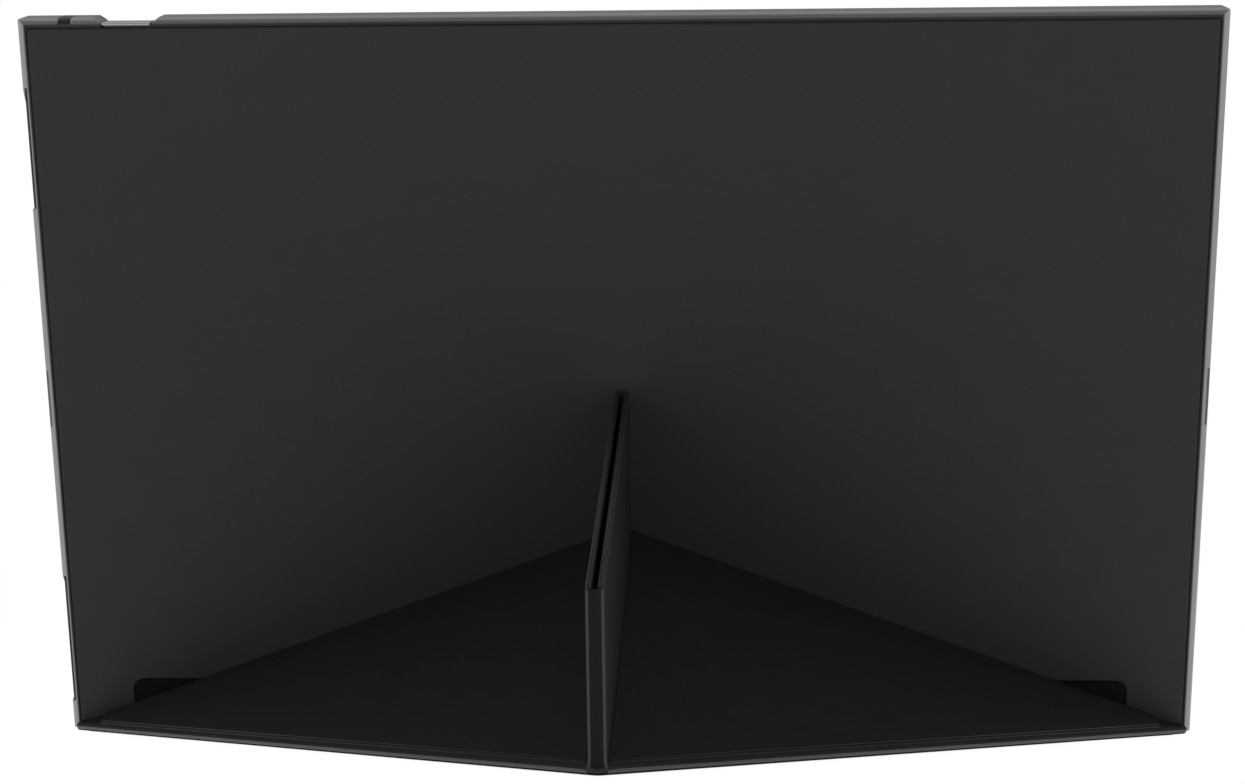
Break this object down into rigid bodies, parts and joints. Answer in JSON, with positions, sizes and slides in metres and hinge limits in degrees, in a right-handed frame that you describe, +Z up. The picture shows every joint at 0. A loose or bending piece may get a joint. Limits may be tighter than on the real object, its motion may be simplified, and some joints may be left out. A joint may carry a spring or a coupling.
{
  "type": "portable monitor with cover",
  "caption": "Thin portable monitor leaning back on its own folding cover, which is creased into a pyramid stand with an upright central fin.",
  "frame": {"origin": "on the desk, on the underside of the cover's base panel, half-way between the hinge behind the monitor and the base panel's rear tip", "axes": "+X to the user's right when facing the screen, +Y to the rear, where the cover folds, +Z up"},
  "size_m": [0.372, 0.221, 0.2253],
  "materials": {
    "soft_touch_plastic": "fine matt soft-touch, dark grey",
    "gunmetal": "bead-blasted and anodised, gunmetal grey",
    "dark_plastic": "matt moulded",
    "smoked_plastic": "smoked, glossy",
    "bezel_plastic": "fine spark-eroded black",
    "screen_glass": "anti-glare, switched off",
    "clear_plastic": "clear acrylic and white film",
    "circuit_board": "green solder mask",
    "flex_film": "amber film",
    "sheet_metal": "rolled and stamped",
    "socket_steel": "nickel-plated",
    "magnet_plating": "nickel-plated",
    "polished_metal": "polished",
    "cover_leather": "fine-grained coated synthetic leather",
    "cover_lining": "short-napped microfibre",
    "stiffener": "pressed fibre board"
  },
  "bodies": {
    "monitor": {"rear_cover": "soft_touch_plastic", "mid_frame": "gunmetal", "side_inserts": "dark_plastic", "status_light": "smoked_plastic", "front_bezel": "bezel_plastic", "lcd_panel": "screen_glass", "diffuser_films": "clear_plastic", "light_guide": "clear_plastic", "led_strip": "circuit_board", "backlight_tray": "sheet_metal", "driver_board": "circuit_board", "panel_flex": "flex_film", "main_board": "circuit_board", "shield_can": "sheet_metal", "usb_c_ports": "socket_steel", "video_port": "socket_steel", "key_board": "circuit_board", "board_screws": "socket_steel", "closing_magnets": "magnet_plating", "cover_tab": "cover_leather"},
    "power_key": {"power_key": "polished_metal"},
    "menu_up_key": {"menu_up_key": "dark_plastic"},
    "menu_down_key": {"menu_down_key": "dark_plastic"},
    "spine": {"spine_skin": "cover_leather", "spine_board": "stiffener", "spine_lining": "cover_lining"},
    "base": {"base_skin": "cover_leather", "base_board": "stiffener", "base_lining": "cover_lining"},
    "left_gusset": {"left_gusset": "cover_leather"},
    "right_gusset": {"right_gusset": "cover_leather"},
    "left_side": {"left_side_skin": "cover_leather", "left_side_board": "stiffener", "left_side_lining": "cover_lining"},
    "right_side": {"right_side_skin": "cover_leather", "right_side_board": "stiffener", "right_side_lining": "cover_lining"},
    "left_fin": {"left_fin_skin": "cover_leather", "left_fin_board": "stiffener", "left_fin_lining": "cover_lining", "left_fin_magnets": "magnet_plating"},
    "right_fin": {"right_fin_skin": "cover_leather", "right_fin_board": "stiffener", "right_fin_lining": "cover_lining", "right_fin_magnets": "magnet_plating"}
  },
  "joints": [
    {"name": "spine_hinge", "type": "hinge", "parent": "monitor", "child": "spine", "pos_m": [0, -0.09728, 0], "axis": [1, 0, 0], "range_deg": [-200, 0]},
    {"name": "flap_hinge", "type": "hinge", "parent": "spine", "child": "base", "pos_m": [0, -0.08638, 0], "axis": [1, 0, 0], "range_deg": [-90, 0]},
    {"name": "stand_fold", "type": "hinge", "parent": "base", "child": "left_side", "pos_m": [-0.00175, 0.09728, 0.0017], "axis": [0.6836, 0.7298, 0], "range_deg": [-151.32, 0]},
    {"name": "right_fold", "type": "hinge", "parent": "base", "child": "right_side", "pos_m": [0.00175, 0.09728, 0.0017], "axis": [0.6836, -0.7298, 0], "range_deg": [-151.32, 0]},
    {"name": "left_fin_fold", "type": "hinge", "parent": "left_side", "child": "left_fin", "pos_m": [-0.00235, 0.09784, 0.00319], "axis": [0, -0.9367, 0.3502], "range_deg": [-69.5, 0]},
    {"name": "right_fin_fold", "type": "hinge", "parent": "right_side", "child": "right_fin", "pos_m": [0.00235, 0.09784, 0.00319], "axis": [0, 0.9367, -0.3502], "range_deg": [-69.5, 0]},
    {"name": "left_gusset_fold", "type": "hinge", "parent": "spine", "child": "left_gusset", "pos_m": [-0.17844, -0.09135, 0.0017], "axis": [0.6836, 0.7298, 0], "range_deg": [-151.32, 0]},
    {"name": "right_gusset_fold", "type": "hinge", "parent": "spine", "child": "right_gusset", "pos_m": [0.17844, -0.09135, 0.0017], "axis": [0.6836, -0.7298, 0], "range_deg": [-151.32, 0]},
    {"name": "power_key_press", "type": "slide", "parent": "monitor", "child": "power_key", "axis": [0, 0.3502, 0.9367], "range_m": [-0.0005, 0], "stiffness_N_per_m": 300, "springref_m": 0.0003},
    {"name": "menu_up_press", "type": "slide", "parent": "monitor", "child": "menu_up_key", "axis": [1, 0, 0], "range_m": [-0.0005, 0], "stiffness_N_per_m": 300, "springref_m": 0.0003},
    {"name": "menu_down_press", "type": "slide", "parent": "monitor", "child": "menu_down_key", "axis": [1, 0, 0], "range_m": [-0.0005, 0], "stiffness_N_per_m": 300, "springref_m": 0.0003}
  ],
  "couplings": [
    {"joint": "right_fold", "follows": "stand_fold", "ratio": 1},
    {"joint": "left_fin_fold", "follows": "stand_fold", "ratio": 0.45928},
    {"joint": "right_fin_fold", "follows": "stand_fold", "ratio": 0.45928},
    {"joint": "left_gusset_fold", "follows": "stand_fold", "ratio": 1},
    {"joint": "right_gusset_fold", "follows": "stand_fold", "ratio": 1}
  ]
}
